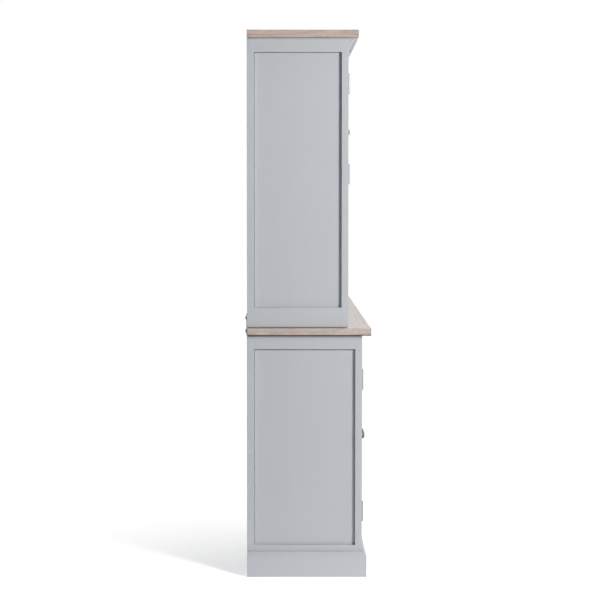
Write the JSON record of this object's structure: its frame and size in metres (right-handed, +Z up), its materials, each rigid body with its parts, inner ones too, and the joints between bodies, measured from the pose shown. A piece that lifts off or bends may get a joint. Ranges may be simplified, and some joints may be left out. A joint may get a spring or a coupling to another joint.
{
  "type": "step back cupboard",
  "caption": "Tall painted cupboard: a shallow glazed hutch over an open recess, set back on a deeper base with panelled doors, oak boards and a plinth.",
  "frame": {"origin": "on the floor, in the middle of the cupboard's outer box", "axes": "+Z up; the front faces -Y; +X runs to the right seen from the front"},
  "size_m": [1.7, 0.46, 2],
  "materials": {
    "grey_paint": "satin paint, pale grey, brushed on",
    "limed_oak": "limed and matt-waxed oak staves",
    "glass": "clear float glass",
    "hinge_metal": "satin nickel",
    "knob_metal": "dark pewter, worn at the rim",
    "plate_metal": "black zinc",
    "catch_plastic": "moulded, off-white"
  },
  "bodies": {
    "carcass": {"base_back_boards": "grey_paint", "base_bearers": "grey_paint", "base_face_frame": "grey_paint", "base_floor": "grey_paint", "base_left_frame": "grey_paint", "base_partition": "grey_paint", "base_right_frame": "grey_paint", "base_shelves": "grey_paint", "base_side_panels": "grey_paint", "cornice": "grey_paint", "door_catches": "catch_plastic", "hinge_leaves": "hinge_metal", "hinge_pins": "hinge_metal", "hutch_back_boards": "grey_paint", "hutch_bearers": "grey_paint", "hutch_face_frame": "grey_paint", "hutch_floor": "grey_paint", "hutch_left_frame": "grey_paint", "hutch_partition": "grey_paint", "hutch_right_frame": "grey_paint", "hutch_shelves": "grey_paint", "hutch_side_panels": "grey_paint", "joining_plates": "plate_metal", "joining_screws": "plate_metal", "plinth": "grey_paint", "top_board": "limed_oak", "worktop": "limed_oak"},
    "base_door_1": {"base_door_1_frame": "grey_paint", "base_door_1_hinges": "hinge_metal", "base_door_1_knob": "knob_metal", "base_door_1_panel": "grey_paint"},
    "base_door_2": {"base_door_2_frame": "grey_paint", "base_door_2_hinges": "hinge_metal", "base_door_2_knob": "knob_metal", "base_door_2_panel": "grey_paint"},
    "base_door_3": {"base_door_3_frame": "grey_paint", "base_door_3_hinges": "hinge_metal", "base_door_3_knob": "knob_metal", "base_door_3_panel": "grey_paint"},
    "base_door_4": {"base_door_4_frame": "grey_paint", "base_door_4_hinges": "hinge_metal", "base_door_4_knob": "knob_metal", "base_door_4_panel": "grey_paint"},
    "hutch_door_1": {"hutch_door_1_frame": "grey_paint", "hutch_door_1_glass": "glass", "hutch_door_1_hinges": "hinge_metal", "hutch_door_1_knob": "knob_metal"},
    "hutch_door_2": {"hutch_door_2_frame": "grey_paint", "hutch_door_2_glass": "glass", "hutch_door_2_hinges": "hinge_metal", "hutch_door_2_knob": "knob_metal"},
    "hutch_door_3": {"hutch_door_3_frame": "grey_paint", "hutch_door_3_glass": "glass", "hutch_door_3_hinges": "hinge_metal", "hutch_door_3_knob": "knob_metal"},
    "hutch_door_4": {"hutch_door_4_frame": "grey_paint", "hutch_door_4_glass": "glass", "hutch_door_4_hinges": "hinge_metal", "hutch_door_4_knob": "knob_metal"}
  },
  "joints": [
    {"name": "base_door_1_hinge", "type": "hinge", "parent": "carcass", "child": "base_door_1", "pos_m": [-0.78575, -0.2016, 0.4755], "axis": [0, 0, -1], "range_deg": [0, 175]},
    {"name": "base_door_2_hinge", "type": "hinge", "parent": "carcass", "child": "base_door_2", "pos_m": [-0.03625, -0.2016, 0.4755], "axis": [0, 0, 1], "range_deg": [0, 90]},
    {"name": "base_door_3_hinge", "type": "hinge", "parent": "carcass", "child": "base_door_3", "pos_m": [0.03625, -0.2016, 0.4755], "axis": [0, 0, -1], "range_deg": [0, 90]},
    {"name": "base_door_4_hinge", "type": "hinge", "parent": "carcass", "child": "base_door_4", "pos_m": [0.78575, -0.2016, 0.4755], "axis": [0, 0, 1], "range_deg": [0, 175]},
    {"name": "hutch_door_1_hinge", "type": "hinge", "parent": "carcass", "child": "hutch_door_1", "pos_m": [-0.78575, -0.1506, 1.64375], "axis": [0, 0, -1], "range_deg": [0, 175]},
    {"name": "hutch_door_2_hinge", "type": "hinge", "parent": "carcass", "child": "hutch_door_2", "pos_m": [-0.03625, -0.1506, 1.64375], "axis": [0, 0, 1], "range_deg": [0, 90]},
    {"name": "hutch_door_3_hinge", "type": "hinge", "parent": "carcass", "child": "hutch_door_3", "pos_m": [0.03625, -0.1506, 1.64375], "axis": [0, 0, -1], "range_deg": [0, 90]},
    {"name": "hutch_door_4_hinge", "type": "hinge", "parent": "carcass", "child": "hutch_door_4", "pos_m": [0.78575, -0.1506, 1.64375], "axis": [0, 0, 1], "range_deg": [0, 175]}
  ]
}
